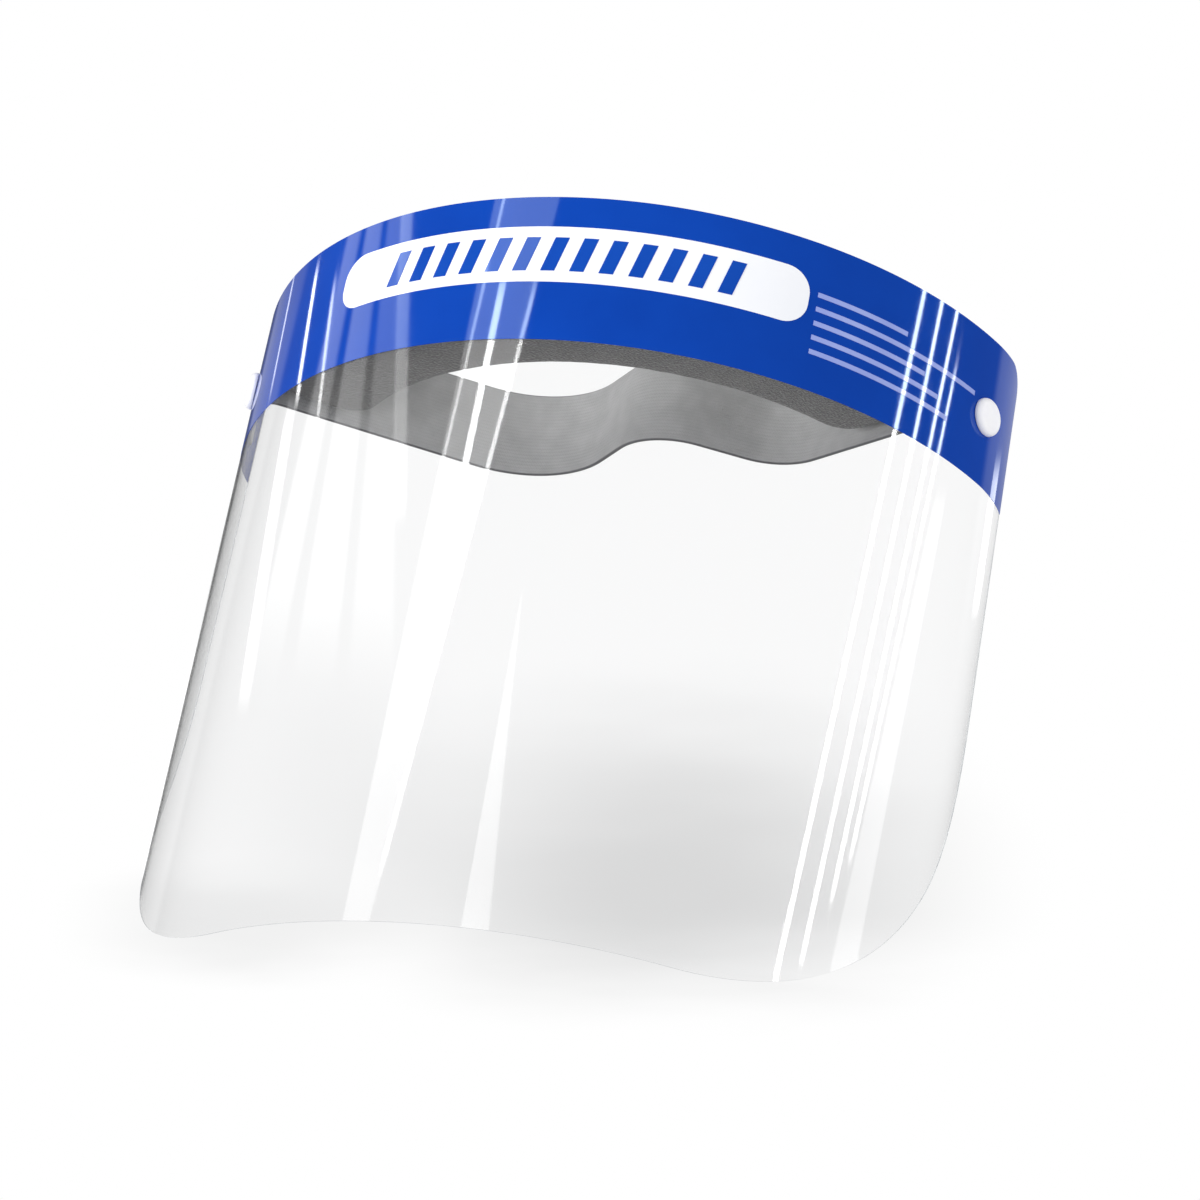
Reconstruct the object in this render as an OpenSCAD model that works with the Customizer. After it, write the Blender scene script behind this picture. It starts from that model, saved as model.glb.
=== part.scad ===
// Face shield: a bent clear sheet with a printed header band, a foam brow pad,
// and a flat elastic strap held by a two-part rivet at each side.
//
// Axes: X across the face, +Y from the face towards the back of the head, +Z up.
// The origin is the middle of the foam pad's inner face, where the forehead touches it.

/* [Sheet] */
// Length of the sheet, measured along its curve
sheet_w = 320; // [300:5:340]
// Height of the sheet
sheet_h = 220; // [200:5:240]
// Thickness of the sheet
sheet_t = 0.3; // [0.2:0.05:0.5]
// Radius of the curve across the front
front_r = 120.7; // [116:0.1:128]
// Tighter radius of the curve beside each side edge
side_r = 48; // [42:1:60]
// Length of the tighter curve, back from each side edge
side_run = 18.5; // [12:0.5:19]
// Width of the large rounding of a bottom corner, along the sheet
corner_w = 93.5; // [80:0.5:110]
// Height of the large rounding of a bottom corner
corner_h = 106.5; // [80:0.5:120]
// Radius of a top corner
top_corner_r = 8; // [4:1:12]

/* [Header] */
// Height of the coloured header band
header_h = 46; // [42:1:60]
// Width of the pale title panel, along the sheet
panel_w = 145; // [100:1:150]
// Height of the title panel
panel_h = 17.8; // [15:0.1:20]
// Distance from the sheet's top edge to the title panel
panel_drop = 9.8; // [8:0.1:14]
// Radius of the title panel's corners
panel_corner_r = 7.5; // [3:0.5:8.5]
// Number of slanted marks on the title panel
mark_count = 13; // [9:1:21]
// Height of a slanted mark
mark_h = 10.8; // [5:0.1:13]
// Length of the row of slanted marks
mark_run = 107; // [80:1:110]
// Number of fine lines in the notice
notice_count = 5; // [3:1:5]
// Height of a notice line
notice_h = 1.5; // [0.8:0.1:2]

/* [Foam pad] */
// Thickness of the foam, from the sheet to the forehead
foam_t = 30; // [20:1:32]
// Height of the foam
foam_h = 30; // [20:1:34]
// Length of the foam, measured along the sheet
foam_len = 224; // [200:2:226]
// Radius of the foam's back corners
foam_corner_r = 9; // [4:1:12]
// Thickness of the adhesive tape between the sheet and the foam
tape_t = 0.5; // [0.3:0.1:0.8]

/* [Strap] */
// Width of the elastic
strap_w = 27; // [22:1:28]
// Thickness of the elastic
strap_t = 1.2; // [0.8:0.1:1.4]
// How far from a side edge the elastic leaves the sheet's inner face
strap_leave = 36.5; // [34:0.5:40]
// How far past the rivet each end of the elastic reaches
strap_tail = 9; // [7.5:0.5:11]
// Radius of the fold where the elastic turns inwards
fold_r = 5; // [4:0.5:6]

/* [Rivets] */
// Distance from a rivet to the sheet's side edge, along the sheet
rivet_inset = 19.3; // [19:0.1:22]
// Distance from a rivet to the sheet's top edge
rivet_drop = 25; // [24:0.5:27]
// Diameter of a rivet's head
rivet_d = 11.2; // [10:0.1:13]
// Diameter of a rivet's post
post_d = 3.6; // [3:0.1:4.5]

/* [Hidden] */
$fn = 96;
// Height of the sheet's top edge above the middle of the forehead pad
top_z = 21;
bottom_z = top_z - sheet_h;
// Depth of the pad's inner face behind the sheet's outer face
face_depth = sheet_t + tape_t + foam_t;
// Half length of the sheet, and of its front curve
half_w = sheet_w / 2;
front_s = half_w - side_run;
// Turn of the front curve from the middle to its end, and of the whole sheet to its side edge
front_a = turn(front_s, front_r);
// The two curves are drawn with this much overlap, in degrees, so that they join
join_a = 0.4;
// Printed layers are drawn this thick, with the same step from one to the next
print_t = 0.1;
// Space left between pieces of one body, and between pieces that move apart
fit_gap = 0.1;
move_gap = 0.3;
// Depths of the elastic's two faces where it lies on the sheet
strap_d0 = sheet_t + fit_gap;
strap_d1 = strap_d0 + strap_t;
strap_mid = (strap_d0 + strap_d1) / 2;
// Height of the elastic's and the rivets' middle
strap_z = top_z - rivet_drop;
// Thickness and edge rounding of a rivet's head, and of its socket
head_t = 2.2;
head_round = 1.6;
socket_t = 1.3;
socket_round = 0.5;
// Space round the post in the holes of the sheet and the elastic, and how long a cut makes such a hole
hole_gap = 0.3;
hole_run = 15;
// A flat socket on the curved wall needs this much more room at its rim than at its centre
seat_gap = 0.4;
back_depth = strap_d1 + seat_gap;
// How far the post reaches into the socket, and the space round it there
post_reach = 0.9;
socket_gap = 0.03;
// The elastic is drawn in pieces, cut at these distances from the middle
end_cut = 91;
back_cut = 42;
// Bends of the slack elastic between its folds: middle x, middle y, radius, from left to right.
// The first and third stand out to the back, and the second dips towards the forehead.
slack_bends = [[-27, 62, 32], [19, 89, 20], [51, 61, 20]];
// The notice lines start together at one distance from the sheet's middle and end raggedly
notice_from = 75;
notice_ends = [105, 134, 113, 119, 124];
// Drop from the sheet's top edge to the first line's lower edge, and from one line to the next
notice_drop = 16.8;
notice_pitch = 4.5;
// Size that is safely larger than the whole object
far = 400;

// ---- Curve of the sheet, seen from above, with its outer face at the middle at 0,0 ----

// Angle in degrees that a length along an arc turns through
function turn(len, r) = len / r * 180 / PI;
// Direction from an arc's centre to the wall at angle a, 0 being straight ahead
function out(a) = [sin(a), -cos(a)];
// Centre of the tighter curve on the +X side
side_centre = [0, front_r] + (front_r - side_r) * out(front_a);
// Angle of the wall at distance s along the sheet from its middle
function wall_a(s) = s <= front_s ? turn(s, front_r) : front_a + turn(s - front_s, side_r);
// Point of the outer face at distance s, for s of 0 or more
function wall_at(s) = s <= front_s ? [0, front_r] + front_r * out(wall_a(s))
                                   : side_centre + side_r * out(wall_a(s));
// The same across the front, on either side of the middle
function front_x(s) = front_r * sin(turn(s, front_r));

// Part of a ring between angles a0 and a1
module ring(r_out, r_in, a0, a1) {
    intersection() {
        difference() {
            circle(r_out);
            circle(r_in);
        }
        polygon([[0, 0], far * out(a0), far * out((a0 + a1) / 2), far * out(a1)]);
    }
}

// Layer that follows the sheet between depths d0 and d1, from s0 to s1 along its front curve
module front_layer(d0, d1, s0, s1) {
    translate([0, front_r])
        ring(front_r - d0, front_r - d1, turn(s0, front_r), turn(s1, front_r));
}

// The same on the tighter curve at the +X side, up to distance s1
module side_layer(d0, d1, s1) {
    translate(side_centre)
        ring(side_r - d0, side_r - d1, front_a - join_a, wall_a(s1));
}

// Layer over the whole sheet
module full_layer(d0, d1) {
    front_layer(d0, d1, -front_s, front_s);
    side_layer(d0, d1, half_w);
    mirror([1, 0]) side_layer(d0, d1, half_w);
}

// Moves a plan from the sheet's outer face to the forehead's origin and gives it height
module raise(z, h) {
    translate([0, -face_depth, z]) linear_extrude(h) children();
}

// ---- Cutting shapes ----

// What the rounding of a corner removes, as an outline in Y and Z run across the whole object.
// The rounding is w along the sheet and h high; up is 1 at the bottom edge and -1 at the top.
module corner_cut(w, h, edge_z, up) {
    arc = [for (a = [0 : 5 : 90])
        [wall_at(half_w - w + w * sin(a))[1], edge_z + up * h * (1 - cos(a))]];
    beyond = arc[len(arc) - 1][0] + 1;
    outline = concat(arc, [[beyond, edge_z + up * h], [beyond, edge_z - up], [arc[0][0], edge_z - up]]);
    translate([-far / 2, -face_depth, 0])
        rotate([90, 0, 90]) linear_extrude(far) polygon(outline);
}

module corner_cuts() {
    corner_cut(corner_w, corner_h, bottom_z, 1);
    corner_cut(top_corner_r, top_corner_r, top_z, -1);
}

// Places a shape at a rivet with +Z pointing out of the sheet; side is 1 on the +X side
module at_rivet(side) {
    s = half_w - rivet_inset;
    p = wall_at(s);
    mirror([side < 0 ? 1 : 0, 0, 0])
        translate([p[0], p[1] - face_depth, strap_z])
            rotate([0, 0, wall_a(s) - 90]) rotate([0, 90, 0]) children();
}

module rivet_holes() {
    for (side = [-1, 1])
        at_rivet(side)
            cylinder(d = post_d + 2 * hole_gap, h = hole_run, center = true);
}

// ---- Sheet and its printed header ----

module visor_sheet() {
    color([0.86, 0.91, 0.95, 0.35]) difference() {
        raise(bottom_z, sheet_h) full_layer(0, sheet_t);
        corner_cuts();
        rivet_holes();
    }
}

module header_print() {
    color([0.03, 0.26, 0.66]) difference() {
        raise(top_z - header_h, header_h) full_layer(-print_t, 0);
        corner_cuts();
        rivet_holes();
    }
}

// Runs an outline, given as [distance along the sheet, height], back through the front curve
module front_stencil(outline) {
    translate([0, far / 4 - face_depth, 0]) rotate([90, 0, 0]) linear_extrude(far)
        polygon([for (p = outline) [front_x(p[0]), p[1]]]);
}

// Printed shape in the given layer, 1 being the first above the header
module print_on_front(layer, outline) {
    intersection() {
        raise(top_z - header_h, header_h)
            front_layer(-(layer + 1) * print_t, -layer * print_t, -panel_w / 2, panel_w / 2);
        front_stencil(outline);
    }
}

panel_z = top_z - panel_drop - panel_h / 2;

module title_panel() {
    corner_x = panel_w / 2 - panel_corner_r;
    corner_z = panel_h / 2 - panel_corner_r;
    outline = [for (q = [0 : 3], a = [0 : 15 : 90])
        [(q == 0 || q == 3 ? 1 : -1) * corner_x + panel_corner_r * cos(90 * q + a),
         panel_z + (q < 2 ? 1 : -1) * corner_z + panel_corner_r * sin(90 * q + a)]];
    color([0.97, 0.98, 1]) print_on_front(1, outline);
}

module title_marks() {
    mark_w = mark_run / mark_count * 0.5;
    lean = mark_h * 0.25;
    pitch = (mark_run - mark_w - lean) / (mark_count - 1);
    color([0.06, 0.28, 0.69]) for (i = [0 : mark_count - 1]) {
        s = (i - (mark_count - 1) / 2) * pitch;
        print_on_front(2, [[s - mark_w / 2 - lean / 2, panel_z - mark_h / 2],
                           [s + mark_w / 2 - lean / 2, panel_z - mark_h / 2],
                           [s + mark_w / 2 + lean / 2, panel_z + mark_h / 2],
                           [s - mark_w / 2 + lean / 2, panel_z + mark_h / 2]]);
    }
}

module notice_lines() {
    color([0.7, 0.78, 0.95]) for (i = [0 : notice_count - 1])
        raise(top_z - notice_drop - i * notice_pitch, notice_h)
            front_layer(-2 * print_t, -print_t, notice_from, notice_ends[i]);
}

// ---- Foam pad and its tape ----

foam_a = turn(foam_len / 2, front_r);

// Sharp corner of the pad's inner face that its rounding takes away, on the +X side
module foam_corner_waste() {
    face_r = front_r - face_depth;
    round_r = face_r + foam_corner_r;
    round_a = foam_a - asin(foam_corner_r / round_r);
    end_r = round_r * cos(foam_a - round_a);
    // The outline runs on into empty space past the pad's inner face and its end
    clear_r = face_r - 3;
    clear_a = foam_a + 4;
    difference() {
        polygon([round_r * out(round_a), clear_r * out(round_a),
                 clear_r * out(clear_a), end_r * out(clear_a), end_r * out(foam_a)]);
        translate(round_r * out(round_a)) circle(foam_corner_r);
    }
}

module forehead_foam() {
    color([0.4, 0.4, 0.41]) raise(-foam_h / 2, foam_h) difference() {
        front_layer(sheet_t + tape_t, face_depth, -foam_len / 2, foam_len / 2);
        translate([0, front_r]) {
            foam_corner_waste();
            mirror([1, 0]) foam_corner_waste();
        }
    }
}

module foam_tape() {
    tape_margin = 2;
    color([0.85, 0.84, 0.8]) raise(-foam_h / 2 + tape_margin, foam_h - 2 * tape_margin)
        front_layer(sheet_t, sheet_t + tape_t, tape_margin - foam_len / 2, foam_len / 2 - tape_margin);
}

// ---- Rivets ----

// Turned outline of a button of radius r and thickness t, flat at 0 and rounded off above
module button_outline(r, t, round) {
    square([r, t - round]);
    square([r - round, t]);
    intersection() {
        square([r, t]);
        translate([r - round, t - round]) circle(round);
    }
}

module rivet_head(side) {
    color([0.95, 0.95, 0.99]) at_rivet(side) {
        translate([0, 0, print_t + fit_gap / 2]) rotate_extrude()
            button_outline(rivet_d / 2, head_t, head_round);
        translate([0, 0, -back_depth - post_reach])
            cylinder(d = post_d, h = back_depth + post_reach + head_t / 2);
    }
}

module rivet_back(side) {
    color([0.93, 0.93, 0.97]) at_rivet(side) difference() {
        translate([0, 0, -back_depth]) mirror([0, 0, 1]) rotate_extrude()
            button_outline(rivet_d / 2, socket_t, socket_round);
        translate([0, 0, -back_depth - post_reach - socket_gap])
            cylinder(d = post_d + 2 * socket_gap, h = back_depth);
    }
}

// ---- Elastic strap ----

// The elastic is a row of arcs joined by straight runs. Each arc is given as
// [middle x, middle y, radius, bend, heading in, heading out], from -X to +X, where bend is 1
// if the elastic turns left and -1 if right, and a heading of 0 is along +X.
leave_a = wall_a(half_w - strap_leave);
tail_a = wall_a(half_w - rivet_inset + strap_tail);
fold_centre = [0, front_r] + (front_r - strap_mid - fold_r) * out(leave_a);

// The circles that the slack stretch runs round, from one fold to the other
circles = concat([[-fold_centre[0], fold_centre[1], fold_r, 1]],
                 [for (i = [0 : len(slack_bends) - 1]) concat(slack_bends[i], [i % 2 == 0 ? -1 : 1])],
                 [[fold_centre[0], fold_centre[1], fold_r, 1]]);
last = len(circles) - 1;

// Heading of the straight run from circle i to circle i + 1
function run_a(i) =
    let (step = [circles[i + 1][0] - circles[i][0], circles[i + 1][1] - circles[i][1]])
    atan2(step[1], step[0]) + circles[i][3] * asin((circles[i][2] + circles[i + 1][2]) / norm(step));

// The stretches that lie on the sheet, on the left side and on the right
wall_r = front_r - strap_mid;
tail_r = side_r - strap_mid;
left_wall = [[-side_centre[0], side_centre[1], tail_r, 1, -tail_a, -front_a],
             [0, front_r, wall_r, 1, -front_a, -leave_a]];
right_wall = [[0, front_r, wall_r, 1, leave_a, front_a],
              [side_centre[0], side_centre[1], tail_r, 1, front_a, tail_a]];
arcs = concat(left_wall,
              [for (i = [0 : last])
                  concat(circles[i], [i == 0 ? -leave_a : run_a(i - 1), i == last ? leave_a : run_a(i)])],
              right_wall);

// Points along one face of the elastic: side is 1 on its left and -1 on its right.
// The steps are finer on a larger arc, so that every facet stays within 0.03 mm of it.
function face_points(side) = [for (c = arcs)
    let (bend = c[3], r = c[2] - side * bend * strap_t / 2, a0 = c[4], a1 = c[5],
         steps = ceil(abs(a1 - a0) * sqrt(c[2]) / 26))
    for (k = [0 : steps])
        let (a = a0 + (a1 - a0) * k / steps)
        [c[0] + bend * r * sin(a), c[1] - bend * r * cos(a)]];

function reversed(list) = [for (i = [len(list) - 1 : -1 : 0]) list[i]];

// The whole elastic, seen from above
module strap_plan() {
    polygon(concat(face_points(1), reversed(face_points(-1))));
}

// The elastic between two distances from the middle line
module strap_piece(x0, x1) {
    color([0.62, 0.62, 0.63]) difference() {
        raise(strap_z - strap_w / 2, strap_w) intersection() {
            strap_plan();
            translate([x0, -far / 2]) square([x1 - x0, far]);
        }
        rivet_holes();
    }
}

module strap_end_left() strap_piece(-far, -end_cut);
module strap_arm_left() strap_piece(move_gap - end_cut, -back_cut - move_gap);
module strap_back() strap_piece(-back_cut, back_cut);
module strap_arm_right() strap_piece(back_cut + move_gap, end_cut - move_gap);
module strap_end_right() strap_piece(end_cut, far);

visor_sheet();
header_print();
title_panel();
title_marks();
notice_lines();
foam_tape();
forehead_foam();
rivet_head(-1);  // rivet_head_left
rivet_head(1);  // rivet_head_right
rivet_back(-1);  // rivet_back_left
rivet_back(1);  // rivet_back_right
strap_end_left();
strap_end_right();
strap_arm_left();
strap_arm_right();
strap_back();
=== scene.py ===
"""Looks of the face shield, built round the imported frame.

Shapes are worked out in millimetres in the frame's axes, and make_mesh turns them into metres.
"""
import math

import bpy
import numpy as np
from mathutils import Matrix, Vector


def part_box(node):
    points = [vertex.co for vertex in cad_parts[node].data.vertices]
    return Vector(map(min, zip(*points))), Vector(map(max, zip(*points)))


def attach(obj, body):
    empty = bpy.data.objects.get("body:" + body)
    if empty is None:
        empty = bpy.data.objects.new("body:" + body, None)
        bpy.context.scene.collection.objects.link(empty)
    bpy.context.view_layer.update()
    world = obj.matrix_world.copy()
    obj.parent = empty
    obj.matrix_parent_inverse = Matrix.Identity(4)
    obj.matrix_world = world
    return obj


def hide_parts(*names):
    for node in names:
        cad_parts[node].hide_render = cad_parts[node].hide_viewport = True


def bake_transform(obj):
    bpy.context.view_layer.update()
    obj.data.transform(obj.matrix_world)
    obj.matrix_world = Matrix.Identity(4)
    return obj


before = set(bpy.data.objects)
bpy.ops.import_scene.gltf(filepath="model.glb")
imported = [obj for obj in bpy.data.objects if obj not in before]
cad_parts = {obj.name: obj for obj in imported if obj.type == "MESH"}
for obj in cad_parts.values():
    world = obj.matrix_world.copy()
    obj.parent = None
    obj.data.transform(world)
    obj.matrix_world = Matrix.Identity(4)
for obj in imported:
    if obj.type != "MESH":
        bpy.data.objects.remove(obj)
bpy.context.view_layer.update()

MM = 0.001


def box_mm(node):
    """Lowest and highest corner of a CAD node, in millimetres."""
    return [np.array(corner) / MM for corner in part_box(node)]


# ---- Driving dimensions, in mm, as in the part ----

SHEET_LOW, SHEET_HIGH = box_mm("visor_sheet")
BAND_LOW, _ = box_mm("header_print")
PANEL_LOW, PANEL_HIGH = box_mm("title_panel")
FOAM_LOW, FOAM_HIGH = box_mm("forehead_foam")
STRAP_LOW, STRAP_HIGH = box_mm("strap_back")
TOP_Z, BOTTOM_Z = SHEET_HIGH[2], SHEET_LOW[2]
FRONT_Y = SHEET_LOW[1]
# The foam's inner face passes through the origin, this far behind the sheet's front
FACE_DEPTH = -FRONT_Y

# The sheet's middle bends to FRONT_R, and from FRONT_S along it to SIDE_R
SHEET_T = 0.3
HALF_W = 160.0
FRONT_R = 120.7
SIDE_R = 48.0
FRONT_S = HALF_W - 18.5
FRONT_A = FRONT_S / FRONT_R
CORNER_W, CORNER_H = 93.5, 106.5
TOP_CORNER_R = 8.0
PRINT_T = 0.1

PANEL_W = 145.0
PANEL_CORNER = 7.5
MARK_COUNT, MARK_H, MARK_RUN = 13, 10.8, 107.0
# A mark's width as a share of its place in the row, and how far it leans for each mm up
MARK_SHARE, MARK_LEAN = 0.5, 0.25
NOTICE_FROM, NOTICE_ENDS = 75.0, [105.0, 134.0, 113.0, 119.0, 124.0]
NOTICE_PITCH, NOTICE_H, NOTICE_DROP = 4.5, 1.5, 16.8

FOAM_HALF = 112.0
FOAM_CORNER = 9.0
TAPE_T = 0.5
TAPE_MARGIN = 2.0

RIVET_S = HALF_W - 19.3
RIVET_D = 11.2
POST_D = 3.6
HOLE_R = POST_D / 2 + 0.3
HEAD_T, HEAD_ROUND = 2.2, 1.6
SOCKET_T, SOCKET_ROUND = 1.3, 0.5
# How far the post's tapered tip reaches into its socket
POST_REACH = 0.2

STRAP_T = 1.2
STRAP_W = STRAP_HIGH[2] - STRAP_LOW[2]
STRAP_Z = (STRAP_HIGH[2] + STRAP_LOW[2]) / 2
FIT_GAP = 0.1
STRAP_MID = SHEET_T + FIT_GAP + STRAP_T / 2
# A flat socket on the curved wall needs this much more room at its rim than at its centre
SEAT_GAP = 0.4
BACK_DEPTH = SHEET_T + FIT_GAP + STRAP_T + SEAT_GAP
# The elastic lies on the sheet from LEAVE_S, where it folds back, to its tail at TAIL_S
FOLD_R = 5.0
LEAVE_S = HALF_W - 36.5
TAIL_S = RIVET_S + 9.0
# The elastic is made in pieces, cut at these distances from the middle
END_CUT, BACK_CUT = 91.0, 42.0
# Bends of the slack elastic between its folds: middle x, middle y, radius, from left to right
SLACK_BENDS = [(-27, 62, 32), (19, 89, 20), (51, 61, 20)]
# Pitch of the elastic's ribs across it, and of its weft along it
RIB_PITCH, WEFT_PITCH = 1.1, 0.8
# Farther from the middle than the elastic's ends
PAST_TAIL = 200.0

# ---- The bent sheet ----

FRONT_CENTRE = np.array([0.0, FRONT_R])
SIDE_OUT = np.array([math.sin(FRONT_A), -math.cos(FRONT_A)])
SIDE_CENTRE = FRONT_CENTRE + (FRONT_R - SIDE_R) * SIDE_OUT


def wall_angle(s):
    """Turn of the sheet, in radians, at distance s along it from its middle."""
    run = np.abs(s)
    return np.where(run <= FRONT_S, run / FRONT_R, FRONT_A + (run - FRONT_S) / SIDE_R)


def wall(s, z, depth):
    """Points at distance s along the sheet, height z and depth behind its outer face."""
    s, z, depth = np.broadcast_arrays(np.asarray(s, float), z, depth)
    angle = wall_angle(s)
    out = np.stack([np.sin(angle), -np.cos(angle)], -1)
    on_front = (np.abs(s) <= FRONT_S)[..., None]
    plan = np.where(on_front, FRONT_CENTRE + (FRONT_R - depth[..., None]) * out,
                    SIDE_CENTRE + (SIDE_R - depth[..., None]) * out)
    return np.stack([plan[..., 0] * np.sign(s), plan[..., 1] + FRONT_Y, z], -1)


# ---- Mesh making ----

def make_mesh(name, points, faces, materials, face_slots=None, sharp=40.0, fields=None):
    """Object of the given faces, its points in mm. fields are named numbers, one per point."""
    mesh = bpy.data.meshes.new(name)
    mesh.from_pydata((np.asarray(points) * MM).tolist(), [], [list(map(int, f)) for f in faces])
    for material in materials:
        mesh.materials.append(material)
    if face_slots is not None:
        mesh.polygons.foreach_set("material_index", np.asarray(face_slots, np.int32))
    mesh.polygons.foreach_set("use_smooth", np.ones(len(mesh.polygons), bool))
    for field, values in (fields or {}).items():
        attribute = mesh.attributes.new(field, "FLOAT", "POINT")
        attribute.data.foreach_set("value", np.asarray(values, np.float32).ravel())
    mesh.update()
    mesh.set_sharp_from_angle(angle=math.radians(sharp))
    obj = bpy.data.objects.new(name, mesh)
    bpy.context.scene.collection.objects.link(obj)
    return obj


def grid_faces(columns, rows, first=0, flip=False):
    """Faces over a grid of points, numbered column by column from first."""
    i, j = np.meshgrid(np.arange(columns - 1), np.arange(rows - 1), indexing="ij")
    a = (first + i * rows + j).ravel()
    faces = np.stack([a, a + rows, a + rows + 1, a + 1], 1)
    return faces[:, ::-1] if flip else faces


def shell(outer, inner):
    """Closed thin solid between two equal grids: points, faces, and which faces are its rim."""
    columns, rows = outer.shape[:2]
    count = columns * rows
    points = np.concatenate([outer.reshape(-1, 3), inner.reshape(-1, 3)])
    sides = np.concatenate([grid_faces(columns, rows), grid_faces(columns, rows, count, True)])
    index = np.arange(count).reshape(columns, rows)
    loop = np.concatenate([index[:, 0], index[-1, 1:], index[-2::-1, -1], index[0, -2:0:-1]])
    after = np.roll(loop, -1)
    rim = np.stack([loop, loop + count, after + count, after], 1)
    return points, np.concatenate([sides, rim]), [0] * len(sides) + [1] * len(rim)


def patch(s, z_low, z_high, rows, front, back, lean=0.0):
    """Shell along the sheet between two depths, with a column for each s. Lean is per mm up."""
    share = np.linspace(0, 1, rows + 1)
    z = np.asarray(z_low)[:, None] + (np.asarray(z_high) - z_low)[:, None] * share
    s = np.asarray(s, float)[:, None] + lean * (z - z.mean())
    return shell(wall(s, z, front), wall(s, z, back))


def joined(shells):
    """Several shells as one."""
    points, faces, slots, first = [], [], [], 0
    for shell_points, shell_faces, shell_slots in shells:
        points.append(shell_points)
        faces.append(shell_faces + first)
        slots += shell_slots
        first += len(shell_points)
    return np.concatenate(points), np.concatenate(faces), slots


def settle(piece, node, body="visor"):
    """Makes the piece stand for a CAD node, whose own mesh it hides, and ride on a body."""
    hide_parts(node)
    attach(piece, body)


def ellipse_drop(along, width, height):
    """How far a rounded corner of that width and height has risen, along mm into it."""
    share = np.clip(along / width, 0, 1)
    return height * (1 - np.sqrt(1 - share**2))


# ---- Materials ----

class Shader:
    """The node tree of a new material, or of the world, with one call for each node."""

    def __init__(self, name, world=None):
        self.owner = world or bpy.data.materials.new(name)
        self.owner.use_nodes = True
        self.tree = self.owner.node_tree
        self.tree.nodes.clear()

    def node(self, kind, inputs=None, **settings):
        made = self.tree.nodes.new("ShaderNode" + kind)
        for key, value in settings.items():
            setattr(made, key, value)
        for key, value in (inputs or {}).items():
            if isinstance(value, bpy.types.NodeSocket):
                self.tree.links.new(value, made.inputs[key])
            else:
                made.inputs[key].default_value = value
        return made

    def math(self, operation, a, b=0.0, c=0.0, clamp=False):
        return self.node("Math", {0: a, 1: b, 2: c}, operation=operation, use_clamp=clamp).outputs[0]

    def noise(self, scale, detail=3.0, vector=None, stretch=None):
        """Noise over the object's own coordinates, or over vector, from 0 to 1."""
        if vector is None:
            vector = self.node("TexCoord").outputs["Object"]
        if stretch is not None:
            vector = self.node("Mapping", {"Vector": vector, "Scale": stretch}).outputs[0]
        made = self.node("TexNoise", {"Vector": vector, "Scale": scale, "Detail": detail})
        return made.outputs["Fac"]

    def ramp(self, factor, low, high, start=0.0, end=1.0):
        """Colour from low to high as factor goes from start to end."""
        made = self.node("ValToRGB", {"Fac": factor})
        stops = made.color_ramp.elements
        stops[0].position, stops[1].position = start, end
        stops[0].color, stops[1].color = (*low, 1), (*high, 1)
        return made.outputs["Color"]

    def over(self, value, start, end, low=0.0, high=1.0, smooth=False):
        """Number from low to high as value goes from start to end."""
        return self.node("MapRange", {
            "Value": value, "From Min": start, "From Max": end, "To Min": low, "To Max": high,
        }, interpolation_type="SMOOTHSTEP" if smooth else "LINEAR").outputs[0]

    def bump(self, height, distance, strength):
        made = self.node("Bump", {"Height": height, "Distance": distance, "Strength": strength})
        return made.outputs["Normal"]

    def film_waves(self):
        """Slight vertical waves of the bent film, which its reflections show."""
        waves = self.noise(14.0, 1.0, stretch=(1, 1, 0.25))
        return self.bump(waves, distance=0.0012, strength=0.2)

    def finish(self, surface, output="OutputMaterial"):
        self.tree.links.new(surface, self.node(output).inputs["Surface"])
        return self.owner


# What each surface of the film mirrors: its share face on, how much more edge on, and how late
FILM_MIRROR, FILM_GRAZING, FILM_POWER = 0.026, 0.95, 6.0


def clear_film():
    """Thin clear film: it mirrors more the more it is seen edge on, and passes the rest."""
    shader = Shader("clear_film")
    facing = shader.node("LayerWeight", {"Blend": 0.5}).outputs["Facing"]
    grazing = shader.math("POWER", facing, FILM_POWER)
    mirrored = shader.math("MULTIPLY_ADD", grazing, FILM_GRAZING, FILM_MIRROR)
    waves = shader.film_waves()
    clear = shader.node("BsdfTransparent", {"Color": (0.996, 0.997, 0.998, 1)}).outputs[0]
    gloss = shader.node("BsdfAnisotropic", {
        "Color": (1, 1, 1, 1), "Roughness": 0.03, "Normal": waves}).outputs[0]
    return shader.finish(shader.node("MixShader", {0: mirrored, 1: clear, 2: gloss}).outputs[0])


def film_edge():
    """Cut edge of the film, which catches the light."""
    shader = Shader("film_edge")
    colour = shader.ramp(shader.noise(300.0), (0.4, 0.43, 0.46), (0.65, 0.68, 0.7), 0.35, 0.65)
    return shader.finish(shader.node("BsdfPrincipled", {
        "Base Color": colour, "Roughness": 0.25, "Alpha": 0.6}).outputs[0])


def printed(name, dark, light, gleam=(1.0, 1.0, 1.0)):
    """Glossy ink, slightly uneven like a screen print. Its reflections take the tint gleam."""
    shader = Shader(name)
    colour = shader.ramp(shader.noise(35.0, 4.0), dark, light, 0.3, 0.7)
    roughness = shader.over(shader.noise(160.0), 0.0, 1.0, 0.03, 0.055)
    relief = shader.film_waves()
    return shader.finish(shader.node("BsdfPrincipled", {
        "Base Color": colour, "Roughness": roughness, "IOR": 1.52, "Specular Tint": (*gleam, 1),
        "Normal": relief}).outputs[0])


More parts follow.
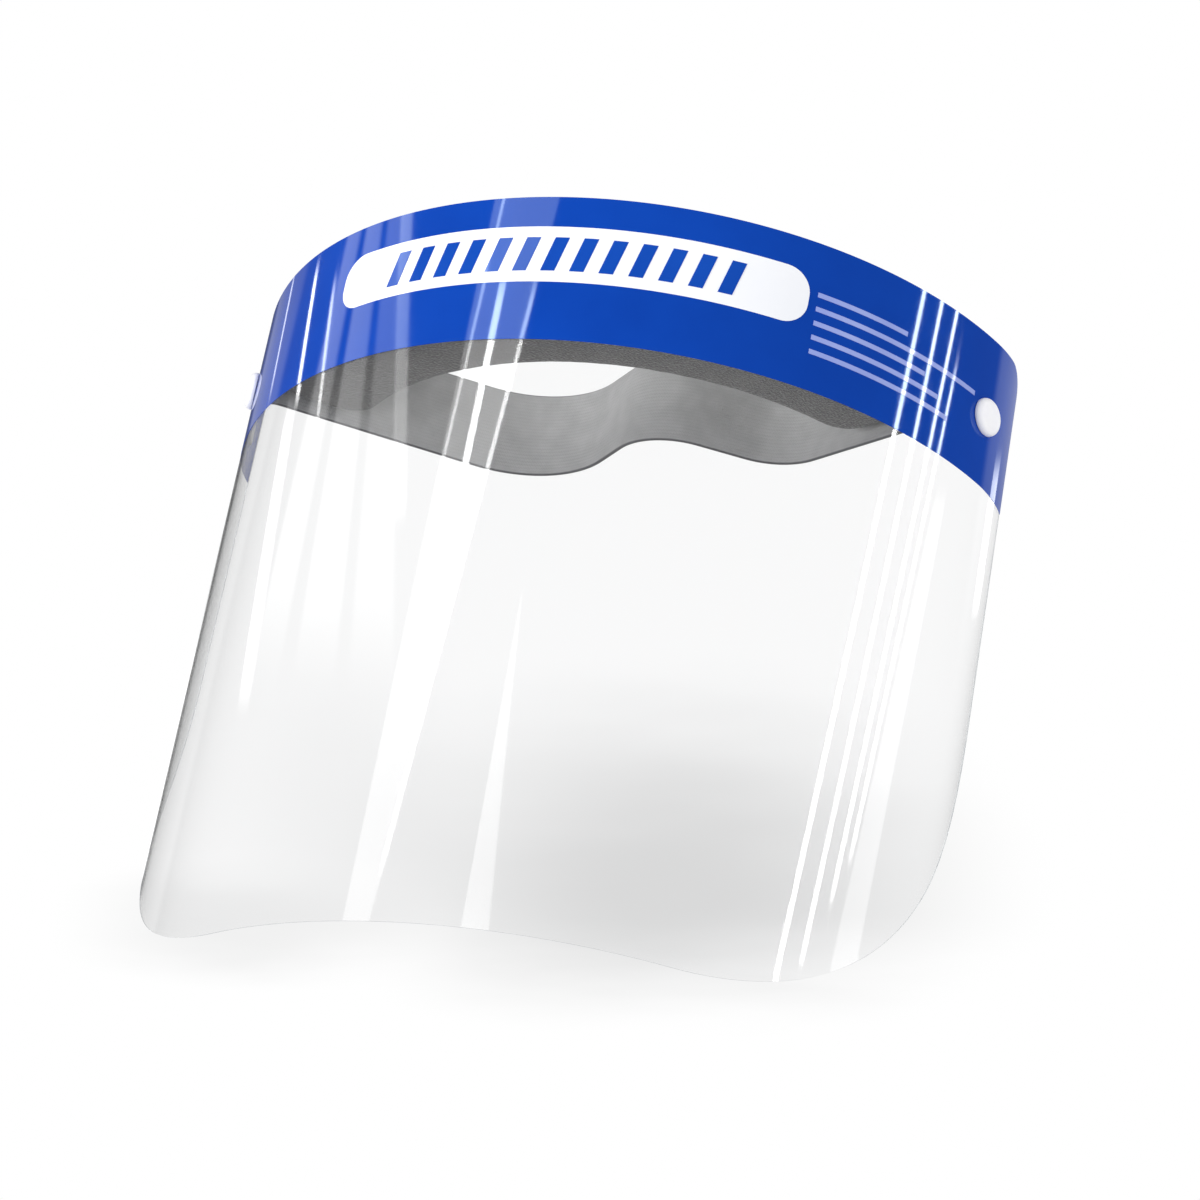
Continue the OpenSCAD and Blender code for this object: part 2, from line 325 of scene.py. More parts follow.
def foam_cells():
    """Grey open-cell foam: small pores darkened with painted shade in a soft felt-like surface, all
    of it painted as dark as its shaded underside.
    """
    shader = Shader("foam_cells")
    place = shader.node("TexCoord").outputs["Object"]
    cells = shader.node("TexVoronoi", {"Vector": place, "Scale": 1500.0}).outputs["Distance"]
    cloud = shader.noise(60.0, 3.0)
    mixed = shader.math("MULTIPLY_ADD", cloud, 0.35, shader.math("MULTIPLY", cells, 0.75))
    # Painted shade: the foam's colour is as dark as its underside in shade, and darker in the pores
    colour = shader.ramp(mixed, (0.065, 0.065, 0.066), (0.15, 0.149, 0.147), 0.25, 0.75)
    relief = shader.bump(cells, distance=0.0005, strength=0.7)
    return shader.finish(shader.node("BsdfPrincipled", {
        "Base Color": colour, "Roughness": 0.95, "Specular IOR Level": 0.2,
        "Sheen Weight": 0.25, "Sheen Roughness": 0.5, "Normal": relief}).outputs[0])


def elastic():
    """Knitted elastic: ribs along its length, crossed by finer weft, with painted shade along its
    edges.
    """
    shader = Shader("elastic")
    along = shader.node("Attribute", attribute_name="along").outputs["Fac"]
    across = shader.node("Attribute", attribute_name="across").outputs["Fac"]
    weft = shader.math("SINE", shader.math("MULTIPLY", along, 2 * math.pi / WEFT_PITCH))
    shift = shader.math("MULTIPLY", weft, 0.9)
    ribs = shader.math("SINE", shader.math("MULTIPLY_ADD", across, 2 * math.pi / RIB_PITCH, shift))
    knit = shader.math("MULTIPLY_ADD", weft, 0.35, ribs)
    cloth = shader.node("CombineXYZ", {0: along, 1: across}).outputs[0]
    cloud = shader.noise(0.16, 4.0, vector=cloth)
    fuzz = shader.noise(2.2, 2.0, vector=cloth)
    tone = shader.math("MULTIPLY_ADD", knit, 0.045, shader.math(
        "MULTIPLY_ADD", cloud, 0.75, shader.math("MULTIPLY", fuzz, 0.25)))
    body = shader.ramp(tone, (0.34, 0.34, 0.342), (0.5, 0.5, 0.503), 0.15, 0.85)
    # Painted shade: the strap turns nearly black along both edges, for the shade its rounded edge
    # lies in
    reach = shader.math("DIVIDE", shader.math("ABSOLUTE", across), STRAP_W / 2)
    edge = shader.over(reach, 0.955, 0.985)
    colour = shader.node("MixRGB", {
        "Fac": edge, "Color1": body, "Color2": (0.1, 0.1, 0.105, 1)}).outputs[0]
    relief = shader.bump(knit, distance=0.0001, strength=0.4)
    return shader.finish(shader.node("BsdfPrincipled", {
        "Base Color": colour, "Roughness": 0.85, "Specular IOR Level": 0.3,
        "Sheen Weight": 0.3, "Sheen Roughness": 0.4, "Normal": relief}).outputs[0])


def nylon():
    """White moulded nylon, faintly lavender, with a satin skin."""
    shader = Shader("nylon")
    colour = shader.ramp(shader.noise(220.0, 3.0), (0.93, 0.93, 0.98), (0.97, 0.97, 1.0), 0.35, 0.65)
    relief = shader.bump(shader.noise(900.0, 2.0), distance=0.00005, strength=0.4)
    return shader.finish(shader.node("BsdfPrincipled", {
        "Base Color": colour, "Roughness": 0.32, "Subsurface Weight": 0.15,
        "Subsurface Radius": (0.001, 0.001, 0.001), "Normal": relief}).outputs[0])


def tape_film():
    """Off-white double-sided tape."""
    shader = Shader("tape_film")
    colour = shader.ramp(shader.noise(90.0), (0.6, 0.58, 0.5), (0.74, 0.72, 0.65), 0.3, 0.7)
    return shader.finish(shader.node("BsdfPrincipled", {
        "Base Color": colour, "Roughness": 0.6}).outputs[0])


CLEAR_FILM = clear_film()
FILM_EDGE = film_edge()
NYLON = nylon()
FOAM = foam_cells()
ELASTIC = elastic()
TAPE = tape_film()
# The blue inks tint what they reflect
BLUE_GLEAM = (0.66, 0.86, 1.0)
BLUE_INK = printed("blue_ink", (0.0018, 0.046, 0.36), (0.0026, 0.055, 0.41), BLUE_GLEAM)
WHITE_INK = printed("white_ink", (0.88, 0.9, 0.95), (0.93, 0.94, 0.97))
MARK_INK = printed("mark_ink", (0.004, 0.055, 0.38), (0.006, 0.07, 0.44), BLUE_GLEAM)
NOTICE_INK = printed("notice_ink", (0.26, 0.33, 0.74), (0.4, 0.47, 0.84))


# ---- Sheet and header ----

def sheet_columns():
    """Distances along the sheet, closer towards its corners, and the heights of both edges there."""
    corner = HALF_W - CORNER_W + CORNER_W * np.sin(np.radians(np.arange(0, 91, 2)))
    middle = np.linspace(0, HALF_W - CORNER_W, 24)[:-1]
    half = np.concatenate([middle, corner])
    s = np.concatenate([-half[:0:-1], half])
    run = np.abs(s)
    low = BOTTOM_Z + ellipse_drop(run - (HALF_W - CORNER_W), CORNER_W, CORNER_H)
    high = TOP_Z - ellipse_drop(run - (HALF_W - TOP_CORNER_R), TOP_CORNER_R, TOP_CORNER_R)
    return s, low, high


def punch(obj):
    """Cuts the two rivet holes through a piece."""
    for side in (-1, 1):
        bpy.ops.mesh.primitive_cylinder_add(vertices=48, radius=HOLE_R * MM, depth=12 * MM)
        tool = bpy.context.object
        tool.matrix_world = rivet_matrix(side)
        cut = obj.modifiers.new("hole", "BOOLEAN")
        cut.operation, cut.solver, cut.object = "DIFFERENCE", "EXACT", tool
        bpy.context.view_layer.objects.active = obj
        bpy.ops.object.modifier_apply(modifier=cut.name)
        bpy.data.objects.remove(tool)


def rivet_matrix(side):
    """Place of a rivet: its own +Z points out of the sheet."""
    place = wall(side * RIVET_S, STRAP_Z, 0.0)
    angle = float(wall_angle(RIVET_S))
    out = Vector((side * math.sin(angle), -math.cos(angle), 0))
    turn = out.to_track_quat("Z", "Y").to_matrix().to_4x4()
    return Matrix.Translation(Vector(place * MM)) @ turn


def build_sheet():
    s, low, high = sheet_columns()
    points, faces, slots = patch(s, low, high, rows=80, front=0.0, back=SHEET_T)
    film = make_mesh("visor_film", points, faces, [CLEAR_FILM, FILM_EDGE], slots)
    punch(film)
    settle(film, "visor_sheet")


def build_header():
    s, _, high = sheet_columns()
    low = np.full(len(s), BAND_LOW[2])
    points, faces, _ = patch(s, low, high, rows=24, front=-PRINT_T, back=0.0)
    band = make_mesh("header_band", points, faces, [BLUE_INK])
    punch(band)
    settle(band, "header_print")


def print_piece(name, shells, ink, node):
    points, faces, _ = joined(shells)
    settle(make_mesh(name, points, faces, [ink]), node)


def build_title():
    """The pale title panel, and the row of slanted marks on it."""
    half = PANEL_W / 2
    corner = half - PANEL_CORNER + PANEL_CORNER * np.sin(np.radians(np.arange(0, 91, 7.5)))
    run = np.concatenate([np.linspace(0, half - PANEL_CORNER, 30)[:-1], corner])
    s = np.concatenate([-run[:0:-1], run])
    cut = ellipse_drop(np.abs(s) - (half - PANEL_CORNER), PANEL_CORNER, PANEL_CORNER)
    panel = patch(s, PANEL_LOW[2] + cut, PANEL_HIGH[2] - cut,
                  rows=6, front=-2 * PRINT_T, back=-PRINT_T)
    print_piece("title_pill", [panel], WHITE_INK, "title_panel")

    width = MARK_SHARE * MARK_RUN / MARK_COUNT
    pitch = (MARK_RUN - width - MARK_LEAN * MARK_H) / (MARK_COUNT - 1)
    marks = []
    for i in range(MARK_COUNT):
        middle = (i - (MARK_COUNT - 1) / 2) * pitch
        s = np.linspace(middle - width / 2, middle + width / 2, 5)
        low = np.full(len(s), (PANEL_LOW[2] + PANEL_HIGH[2] - MARK_H) / 2)
        marks.append(patch(s, low, low + MARK_H,
                           rows=4, front=-3 * PRINT_T, back=-2 * PRINT_T, lean=MARK_LEAN))
    print_piece("slanted_marks", marks, MARK_INK, "title_marks")


def build_notice():
    """Plain bars in place of a small notice."""
    lines = []
    for i, end in enumerate(NOTICE_ENDS):
        s = np.linspace(NOTICE_FROM, end, 24)
        low = np.full(len(s), TOP_Z - NOTICE_DROP - i * NOTICE_PITCH)
        lines.append(patch(s, low, low + NOTICE_H, rows=1, front=-2 * PRINT_T, back=-PRINT_T))
    print_piece("notice_bars", lines, NOTICE_INK, "notice_lines")


# ---- Foam pad and tape ----

# Softness of the pad's long edges, and unevenness of its cut skin
FOAM_SOFT = 1.6
FOAM_UNEVEN = 0.04
# Steps along each straight side of the pad's section
SECTION_STEPS = 8


def foam_inner_radius(angle):
    """Distance from the curve's middle to the pad's inner face, which is rounded at its ends."""
    end = FOAM_HALF / FRONT_R
    face_r = FRONT_R - FACE_DEPTH
    round_r = face_r + FOAM_CORNER
    round_a = end - math.asin(FOAM_CORNER / round_r)
    beyond = np.clip(np.abs(angle) - round_a, 0, end - round_a)
    inside = np.sqrt(np.maximum(FOAM_CORNER**2 - (round_r * np.sin(beyond)) ** 2, 0))
    return np.where(np.abs(angle) > round_a, round_r * np.cos(beyond) - inside, face_r)


def build_foam():
    """The pad, as rings round its section, with softened edges and a slightly uneven skin."""
    end = FOAM_HALF / FRONT_R
    angles = end * np.sin(np.linspace(-math.pi / 2, math.pi / 2, 141))
    height = FOAM_HIGH[2] - FOAM_LOW[2]
    outer_r = FRONT_R - SHEET_T - TAPE_T
    rings = []
    for angle in angles:
        section = rounded_section(outer_r, float(foam_inner_radius(angle)), height)
        plan = FRONT_CENTRE + section[:, :1] * np.array([math.sin(angle), -math.cos(angle)])
        rings.append(np.column_stack([plan[:, 0], plan[:, 1] + FRONT_Y, section[:, 1]]))
    rings = np.array(rings)
    rings += np.random.default_rng(7).normal(0, FOAM_UNEVEN, rings.shape)
    points, faces = tube(rings)
    foam = make_mesh("brow_foam", points, faces, [FOAM], sharp=60)
    settle(foam, "forehead_foam")


def rounded_section(outer_r, inner_r, height):
    """Outline of the pad's section as (radius, height), with each corner rounded."""
    middle_r = (outer_r + inner_r) / 2
    half_t, half_h = (outer_r - inner_r) / 2 - FOAM_SOFT, height / 2 - FOAM_SOFT
    outline = []
    for quarter, (side, level) in enumerate([(1, 1), (-1, 1), (-1, -1), (1, -1)]):
        middle = np.array([middle_r + side * half_t, level * half_h])
        for a in np.radians(90 * quarter + np.arange(0, 91, 18)):
            outline.append(middle + FOAM_SOFT * np.array([math.cos(a), math.sin(a)]))
    points = []
    for a, b in zip(outline, outline[1:] + outline[:1]):
        steps = SECTION_STEPS if np.linalg.norm(b - a) > FOAM_SOFT else 1
        points += [a + (b - a) * k / steps for k in range(steps)]
    return np.array(points)


def tube(rings):
    """Closed solid through rings of points, with a flat fan at each end."""
    count, size = rings.shape[:2]
    points = rings.reshape(-1, 3)
    i, j = np.meshgrid(np.arange(count - 1), np.arange(size), indexing="ij")
    a, b = (i * size + j).ravel(), (i * size + (j + 1) % size).ravel()
    faces = [tuple(f) for f in np.stack([a, b, b + size, a + size], 1)]
    faces.append(tuple(range(size))[::-1])
    faces.append(tuple(range((count - 1) * size, count * size)))
    return points, faces


def build_tape():
    s = np.linspace(TAPE_MARGIN - FOAM_HALF, FOAM_HALF - TAPE_MARGIN, 90)
    low = np.full(len(s), FOAM_LOW[2] + TAPE_MARGIN)
    high = np.full(len(s), FOAM_HIGH[2] - TAPE_MARGIN)
    points, faces, _ = patch(s, low, high, rows=6, front=SHEET_T, back=SHEET_T + TAPE_T)
    tape = make_mesh("mounting_tape", points, faces, [TAPE])
    settle(tape, "foam_tape")


# ---- Elastic strap ----

def strap_arcs():
    """The strap's arcs from left to right: middle, radius, bend, heading in and heading out.

    Bend is 1 where the strap turns left and -1 where it turns right; a heading of 0 is along +X.
    """
    leave, tail = float(wall_angle(LEAVE_S)), float(wall_angle(TAIL_S))
    fold_x = (FRONT_R - STRAP_MID - FOLD_R) * math.sin(leave)
    fold_y = FRONT_R - (FRONT_R - STRAP_MID - FOLD_R) * math.cos(leave)
    bends = [-1, 1, -1]
    circles = [(-fold_x, fold_y, FOLD_R, 1)]
    circles += [(x, y, r, bend) for (x, y, r), bend in zip(SLACK_BENDS, bends)]
    circles += [(fold_x, fold_y, FOLD_R, 1)]
    runs = []
    for (x0, y0, r0, bend), (x1, y1, r1, _) in zip(circles, circles[1:]):
        gap = math.hypot(x1 - x0, y1 - y0)
        runs.append(math.atan2(y1 - y0, x1 - x0) + bend * math.asin((r0 + r1) / gap))
    arrive, depart = [-leave, *runs], [*runs, leave]
    wall_r, tail_r = FRONT_R - STRAP_MID, SIDE_R - STRAP_MID
    side_x, side_y = SIDE_CENTRE
    arcs = [(-side_x, side_y, tail_r, 1, -tail, -FRONT_A), (0, FRONT_R, wall_r, 1, -FRONT_A, -leave)]
    arcs += [(*circle, a, b) for circle, a, b in zip(circles, arrive, depart)]
    arcs += [(0, FRONT_R, wall_r, 1, leave, FRONT_A), (side_x, side_y, tail_r, 1, FRONT_A, tail)]
    return arcs


# Steps along the strap's arcs, then along the strap; no step ends this close to a cut
ARC_STEP, STRAP_STEP, CUT_CLEAR = 0.25, 0.8, 0.05
# The strap is thinner by this share from EDGE_FROM inwards, and of full thickness within EDGE_TO
MIDDLE_THINNER, EDGE_FROM, EDGE_TO = 0.07, 3.0, 1.0


def strap_line():
    """Points along the strap's middle with even steps, and the strap's length up to each."""
    raw = []
    for x, y, r, bend, a0, a1 in strap_arcs():
        for a in np.linspace(a0, a1, max(3, int(abs(a1 - a0) * r / ARC_STEP))):
            raw.append((x + bend * r * math.sin(a), y - bend * r * math.cos(a)))
    raw = np.array(raw)
    moved = np.linalg.norm(np.diff(raw, axis=0), axis=1) > 1e-6
    raw = raw[np.concatenate([[True], moved])]
    length = np.concatenate([[0], np.cumsum(np.linalg.norm(np.diff(raw, axis=0), axis=1))])
    even = np.linspace(0, length[-1], int(length[-1] / STRAP_STEP) + 1)
    line = np.column_stack([np.interp(even, length, raw[:, k]) for k in (0, 1)])
    return line, even


def cut_line(line, length, x0, x1):
    """The stretch of the strap between two values of x, with points exactly at the cuts."""
    # Only the slack stretch between the folds is searched, where x never comes back on itself
    slack = np.abs(length - length[-1] / 2) < length[-1] / 2 - (TAIL_S - LEAVE_S) - FOLD_R
    ends = [np.interp(x, line[slack, 0], length[slack], left=0.0, right=length[-1]) for x in (x0, x1)]
    kept = (length > ends[0] + CUT_CLEAR) & (length < ends[1] - CUT_CLEAR)
    lengths = np.concatenate([[ends[0]], length[kept], [ends[1]]])
    return np.column_stack([np.interp(lengths, length, line[:, k]) for k in (0, 1)]), lengths


def strap_section():
    """Outline of the strap's section as (across, thickness): flat, with rounded and fuller edges."""
    half, t = STRAP_W / 2, STRAP_T / 2
    face = np.linspace(-1, 1, 31)
    across = np.sign(face) * (1 - (1 - np.abs(face)) ** 1.3) * (half - t)
    near_edge = np.clip((np.abs(across) - half + EDGE_FROM) / (EDGE_FROM - EDGE_TO), 0, 1)
    fuller = t * (1 - MIDDLE_THINNER * (1 - near_edge))
    top = np.column_stack([across, fuller])
    edge = np.array([(half - t + t * math.cos(a), t * math.sin(a))
                     for a in np.radians([54, 18, -18, -54])])
    bottom = np.column_stack([across[::-1], -fuller[::-1]])
    return np.concatenate([top, edge, bottom, -edge])


def build_strap_piece(name, node, ends):
    """The strap between two values of x, as a closed band with its weave's own coordinates."""
    line, length = strap_line()
    points, lengths = cut_line(line, length, *sorted(ends))
    turn = np.gradient(line, axis=0)
    heading = np.column_stack([np.interp(lengths, length, turn[:, k]) for k in (0, 1)])
    heading /= np.linalg.norm(heading, axis=1, keepdims=True)
    left = np.column_stack([-heading[:, 1], heading[:, 0]])
    section = strap_section()
    plan = points[:, None] + section[None, :, 1:] * left[:, None]
    height = np.broadcast_to(STRAP_Z + section[:, 0], plan.shape[:2])
    band, faces = tube(np.stack([plan[..., 0], plan[..., 1] + FRONT_Y, height], -1))
    fields = {"along": np.repeat(lengths, len(section)),
              "across": np.tile(section[:, 0], len(lengths))}
    piece = make_mesh(name, band, faces, [ELASTIC], sharp=50, fields=fields)
    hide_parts(node)
    return piece


def build_strap():
    for side, word in ((-1, "left"), (1, "right")):
        cut, back_cut = side * END_CUT, side * BACK_CUT
        end = build_strap_piece(f"strap_tab_{word}", f"strap_end_{word}", (cut, side * PAST_TAIL))
        punch(end)
        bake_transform(end)
        arm = build_strap_piece(f"strap_side_{word}", f"strap_arm_{word}", (back_cut, cut))
        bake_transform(arm)
    back = build_strap_piece("strap_loop_back", "strap_back", (-BACK_CUT, BACK_CUT))
    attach(back, "strap_loop")


# ---- Rivets ----

def lathe(name, profile, material, turns=72):
    """Solid of revolution about Z from (radius, height) points that start and end on the axis."""
    a = np.linspace(0, 2 * math.pi, turns, endpoint=False)
    rings = [np.column_stack([r * np.cos(a), r * np.sin(a), np.full(turns, z)])
             for r, z in profile[1:-1]]
    tips = [[0, 0, profile[0][1]], [0, 0, profile[-1][1]]]
    points = np.concatenate([*rings, tips])
    start, end = len(points) - 2, len(points) - 1
    last = (len(rings) - 1) * turns
    faces = []
    for j in range(turns):
        k = (j + 1) % turns
        faces.append((start, k, j))
        faces += [(i + j, i + k, i + turns + k, i + turns + j) for i in range(0, last, turns)]
        faces.append((end, last + j, last + k))
    return make_mesh(name, points, faces, [material], sharp=50)


# Chamfer of a button's underside, and how far its top is dished
CHAMFER, DISH = 0.1, 0.1


def button_profile(base, thickness, rounding):
    """Outline of a button as (radius, height), from its flat underside to its slightly dished top."""
    radius, top = RIVET_D / 2, base + thickness
    arc = [(radius - rounding * (1 - math.cos(a)), top - rounding * (1 - math.sin(a)))
           for a in np.radians(np.arange(0, 91, 10))]
    inner = radius - rounding
    face = [(inner - 0.4, top - 0.2 * DISH), (inner - 0.9, top - 0.8 * DISH),
            (inner * 0.3, top - DISH)]
    under = [(0, base), (radius - CHAMFER, base), (radius, base + CHAMFER)]
    return [*under, *arc, *face, (0, top - DISH)]


def post_profile():
    """Outline of the outer half: its head on top of a post that reaches into the other half."""
    post = POST_D / 2
    base = PRINT_T + FIT_GAP / 2
    tip = -BACK_DEPTH - POST_REACH
    head = button_profile(base, HEAD_T, HEAD_ROUND)
    return [(0, tip), (post - POST_REACH, tip), (post, -BACK_DEPTH), (post, base), *head[1:]]


def build_rivets():
    for side, word in ((-1, "left"), (1, "right")):
        place = rivet_matrix(side)
        head = lathe(f"rivet_cap_{word}", post_profile(), NYLON)
        head.data.transform(place)
        settle(head, f"rivet_head_{word}")
        socket = button_profile(BACK_DEPTH, SOCKET_T, SOCKET_ROUND)
        back = lathe(f"rivet_socket_{word}", socket, NYLON)
        back.data.transform(place @ Matrix.Rotation(math.pi, 4, "X"))
        settle(back, f"rivet_back_{word}")


# ---- Stage, light and camera ----

# The photographer's viewpoint, in degrees, metres and mm
VIEW_AZIMUTH, VIEW_ELEVATION, VIEW_ROLL = 18.02, -25.12, -10.70
VIEW_AIM = Vector((0.0159, 0.0174, -0.0801))
VIEW_DISTANCE = 1.1538
VIEW_LENS = 124.47


def view_axes():
    """The photographer's line of sight, and what is right and up to them."""
    azimuth, elevation, roll = (math.radians(a) for a in (VIEW_AZIMUTH, VIEW_ELEVATION, VIEW_ROLL))
    flat = math.cos(elevation)
    ahead = Vector((-math.sin(azimuth) * flat, math.cos(azimuth) * flat, -math.sin(elevation)))
    level = ahead.cross(Vector((0, 0, 1))).normalized()
    up = math.cos(roll) * level.cross(ahead) + math.sin(roll) * level
    return ahead, ahead.cross(up), up


# How far the floor is under the sheet, and half its width, in metres
FLOOR_BELOW = 0.45
FLOOR_HALF = 12.0


def build_stage():
    floor_z = BOTTOM_Z * MM - FLOOR_BELOW
    corners = [(x * FLOOR_HALF, y * FLOOR_HALF, floor_z)
               for x, y in ((-1, -1), (1, -1), (1, 1), (-1, 1))]
    mesh = bpy.data.meshes.new("floor")
    mesh.from_pydata(corners, [], [(0, 1, 2, 3)])
    shader = Shader("pale_floor")
    mesh.materials.append(shader.finish(shader.node("BsdfPrincipled", {
        "Base Color": (0.15, 0.15, 0.15, 1), "Roughness": 0.9, "Specular IOR Level": 0.1,
        "Emission Color": (1, 1, 1, 1), "Emission Strength": 0.66}).outputs[0]))
    floor = bpy.data.objects.new("floor", mesh)
    floor.visible_glossy = False
    bpy.context.scene.collection.objects.link(floor)


# What a mirror sees round the shield: panels and tubes of light in a dim studio, in degrees.
# Azimuth is from straight ahead of the shield towards +X. Each row gives the left and right
# edges at MIRROR_EL, how far each edge leans for each degree up, the lowest and highest
# elevation, the brightness and the softness of the edges.
MIRROR_EL = 27.0
PANELS = [
    # Tall window on the left, with its bright frame and cross bars
    (-41.5, -25.9, 0.0, 1.15, -60, 40, 2.4, 0.5),
    (-40.8, -39.9, 0.5, 0.5, 26.2, 40, 8.0, 0.2),
    (-34.5, -32.5, 0.0, 0.0, 26.0, 29.2, 18.0, 0.4),
    (-26.9, -25.8, 1.15, 1.15, 21.0, 29.2, 12.0, 0.2),
    # Milky stretch farther left, and the tubes in it
    (-59.7, -55.1, -5.0, -5.0, 25.8, 31.0, 3.6, 0.6),
    (-96.0, -87.0, 0.0, -1.2, 24.0, 34.0, 1.5, 2.5),
    (-83.0, -72.5, -1.8, -3.2, 24.0, 34.0, 1.9, 2.0),
    (-69.0, -59.0, -3.6, -5.0, 24.0, 34.0, 1.4, 2.0),
    (-105.1, -103.3, -3.4, -3.4, 27.0, 28.7, 11.0, 0.4),
    (-92.2, -90.8, -3.7, -3.7, 26.8, 28.6, 8.0, 0.4),
    (-125.9, -124.7, -2.4, -2.4, 27.0, 28.6, 2.4, 0.4),
    (-110.0, -104.5, -2.7, -2.7, 23.0, 26.6, 4.5, 1.0),
    # Behind the left edge
    (-143.0, -118.0, 0.0, 0.0, -60, 29.0, 0.35, 5.0),
    (-157.0, -150.0, 0.0, 0.0, -60, 24.0, 1.4, 3.0),
    # Tubes on the right, and a soft panel behind them
    (84.4, 85.7, 1.3, 1.3, -60, 40, 24.0, 0.25),
    (91.4, 92.6, 1.35, 1.35, 20.8, 40, 24.0, 0.25),
    (97.5, 98.6, 1.5, 1.5, 21.7, 40, 24.0, 0.25),
    (101.4, 102.4, 1.6, 1.6, 22.3, 29.0, 20.0, 0.25),
    (104.5, 109.0, 1.8, 1.1, -60, 27.2, 2.2, 0.6),
    # Behind the right edge
    (128.0, 175.0, 0.0, 0.0, 26.0, 40, 0.7, 8.0),
    (141.0, 150.0, 0.0, 0.0, 25.9, 27.8, 4.0, 0.5),
    # Wedge low down, left of the middle
    (-10.7, -13.8, -0.3, -1.86, -60, 26.0, 2.6, 0.3),
]
# The panels stand upright below this much under MIRROR_EL
LEAN_DROP = 8.0


def build_world():
    """White behind the shield with painted shadows low down, an even dome for diffuse light, and the
    panels for mirrored rays.
    """
    world = bpy.data.worlds.new("studio")
    bpy.context.scene.world = world
    shader = Shader("studio", world)
    direction = shader.node("TexCoord").outputs["Generated"]
    x, y, z = shader.node("SeparateXYZ", {0: direction}).outputs[:3]
    azimuth = shader.math("DEGREES", shader.math("ARCTAN2", x, shader.math("MULTIPLY", y, -1.0)))
    elevation = shader.math("DEGREES", shader.math("ARCSINE", z))

    def light(strength):
        return shader.node("Background", {"Color": (1, 1, 1, 1), "Strength": strength}).outputs[0]

    path = shader.node("LightPath")
    dome = light(shader.over(z, -1.0, 1.0, 0.34, 0.78))
    mirror = light(mirrored_level(shader, azimuth, elevation))
    # What the camera sees: the white backdrop with the painted shadows of the shield
    white = light(backdrop(shader, direction, elevation))
    seen = shader.node("MixShader", {0: path.outputs["Is Glossy Ray"], 1: dome, 2: mirror}).outputs[0]
    seen = shader.node("MixShader", {0: path.outputs["Is Camera Ray"], 1: seen, 2: white}).outputs[0]
    shader.finish(seen, "OutputWorld")


def mirrored_level(shader, azimuth, elevation):
    """Brightness that a mirror sees: the dim studio and the panels, all fainter low down."""
    rise = shader.math("MAXIMUM", shader.math("SUBTRACT", elevation, MIRROR_EL), -LEAN_DROP)
    fade = shader.over(elevation, 2.0, 19.0, 0.45, 1.0)
    total = shader.over(elevation, 10.0, 19.0, 0.3, 0.12)

    def past(value, edge, soft):
        """1 where value is past the edge, 0 before it."""
        return shader.over(shader.math("SUBTRACT", value, edge), -soft / 2, soft / 2, smooth=True)

    for left, right, lean_left, lean_right, low, high, bright, soft in PANELS:
        end_soft = max(0.5, soft)
        edges = [past(azimuth, shader.math("MULTIPLY_ADD", rise, lean_left, left), soft),
                 past(shader.math("MULTIPLY_ADD", rise, lean_right, right), azimuth, soft),
                 past(elevation, low, end_soft), past(high, elevation, end_soft)]
        level = fade
        for edge in edges:
            level = shader.math("MULTIPLY", level, edge)
        total = shader.math("MULTIPLY_ADD", level, bright, total)
    return total


# Painted shadows of the shield on the backdrop, soft and low down behind it: middle across and up,
# half width, reach above and below, all as slopes off the line of sight, and depth
PAINTED_SHADOWS = [
    (0.018, -0.071, 0.095, 0.062, 0.036, 0.27),
    (-0.085, -0.08, 0.05, 0.02, 0.014, 0.12),
    (-0.062, -0.055, 0.04, 0.06, 0.03, 0.07),
]


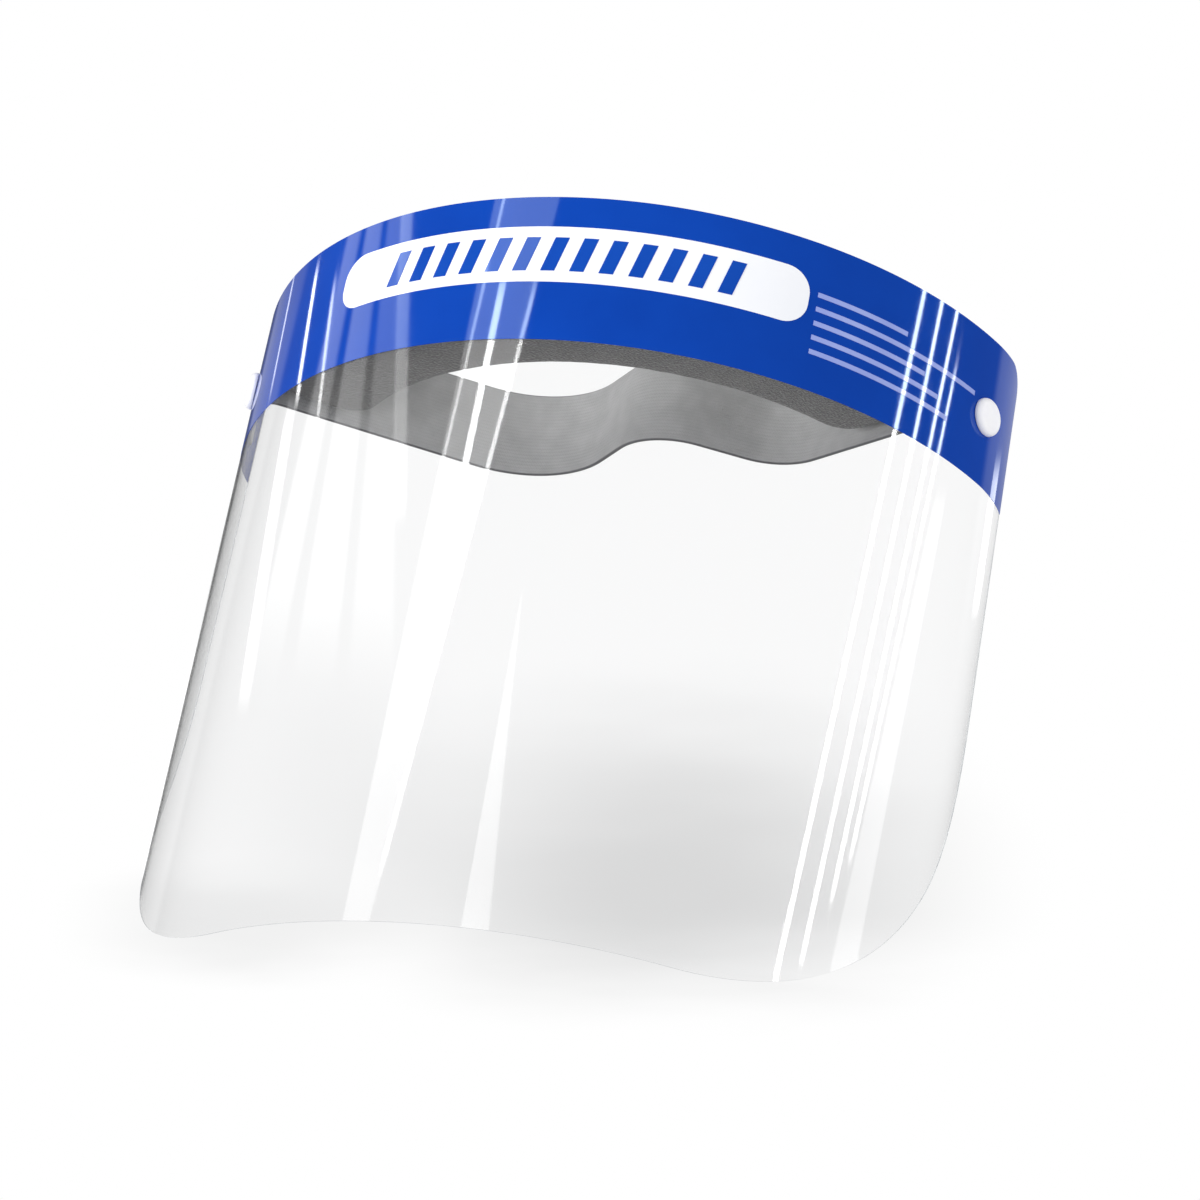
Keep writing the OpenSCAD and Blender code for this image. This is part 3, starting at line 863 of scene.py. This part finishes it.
def backdrop(shader, direction, elevation):
    """White above a paler horizon, with painted shadows of the shield low down behind it."""
    ahead, right, up = view_axes()

    def along(axis):
        dot = shader.node("VectorMath", {0: direction, 1: tuple(axis)}, operation="DOT_PRODUCT")
        return dot.outputs["Value"]

    depth = shader.math("MAXIMUM", along(ahead), 0.01)
    across = shader.math("DIVIDE", along(right), depth)
    height = shader.math("DIVIDE", along(up), depth)
    place = shader.node("CombineXYZ", {0: across, 1: height}).outputs[0]
    # Noise that frays the outline of the painted shadows
    drift = shader.noise(30.0, 3.0, vector=place, stretch=(0.35, 2.0, 1.0))
    height = shader.math("MULTIPLY_ADD", shader.math("SUBTRACT", drift, 0.5), 0.02, height)
    level = shader.over(elevation, 0.0, 12.0, 0.78, 1.0)
    before = shader.math("GREATER_THAN", along(ahead), 0.5)
    # Each painted shadow darkens the backdrop by its depth, softly towards its outline
    for middle_x, middle_y, half, above, below, shade in PAINTED_SHADOWS:
        sideways = shader.math("DIVIDE", shader.math("SUBTRACT", across, middle_x), half)
        rise = shader.math("SUBTRACT", height, middle_y)
        upright = shader.math("MAXIMUM", shader.math("DIVIDE", rise, above),
                              shader.math("DIVIDE", rise, -below))
        reach = shader.math("SQRT", shader.math(
            "MULTIPLY_ADD", sideways, sideways, shader.math("MULTIPLY", upright, upright)))
        inside = shader.math("MULTIPLY", shader.over(reach, 1.0, 0.1, smooth=True), before)
        level = shader.math("MULTIPLY_ADD", inside, -shade, level)
    return level


def area_light(name, place, target, size, power):
    data = bpy.data.lights.new(name, "AREA")
    data.shape, data.size, data.size_y, data.energy = "RECTANGLE", size[0], size[1], power
    light = bpy.data.objects.new(name, data)
    light.location = place
    light.rotation_euler = (Vector(target) - Vector(place)).to_track_quat("-Z", "Y").to_euler()
    light.visible_camera = False
    light.visible_glossy = False
    bpy.context.scene.collection.objects.link(light)


def build_lights():
    middle = (0, 0, -0.05)
    area_light("key", (-1.7, -1.5, 0.6), middle, (1.2, 1.2), 27)
    area_light("fill", (1.8, -0.9, 0.1), middle, (1.2, 1.2), 9)
    area_light("rim", (1.2, 1.6, 1.2), middle, (1.0, 1.6), 9)
    area_light("under", (-0.4, -0.5, -0.35), (-0.06, 0.02, 0), (0.4, 0.3), 1.9)


def build_camera():
    ahead, right, up = view_axes()
    data = bpy.data.cameras.new("camera")
    data.lens, data.sensor_width = VIEW_LENS, 36.0
    data.clip_start, data.clip_end = 0.05, 100.0
    camera = bpy.data.objects.new("camera", data)
    camera.matrix_world = Matrix.Translation(VIEW_AIM - VIEW_DISTANCE * ahead) @ Matrix(
        (right, up, -ahead)).transposed().to_4x4()
    bpy.context.scene.collection.objects.link(camera)
    bpy.context.scene.camera = camera


build_camera()
build_sheet()
build_header()
build_title()
build_notice()
build_foam()
build_tape()
build_strap()
build_rivets()
build_stage()
build_world()
build_lights()
bpy.context.scene.view_settings.view_transform = "Standard"
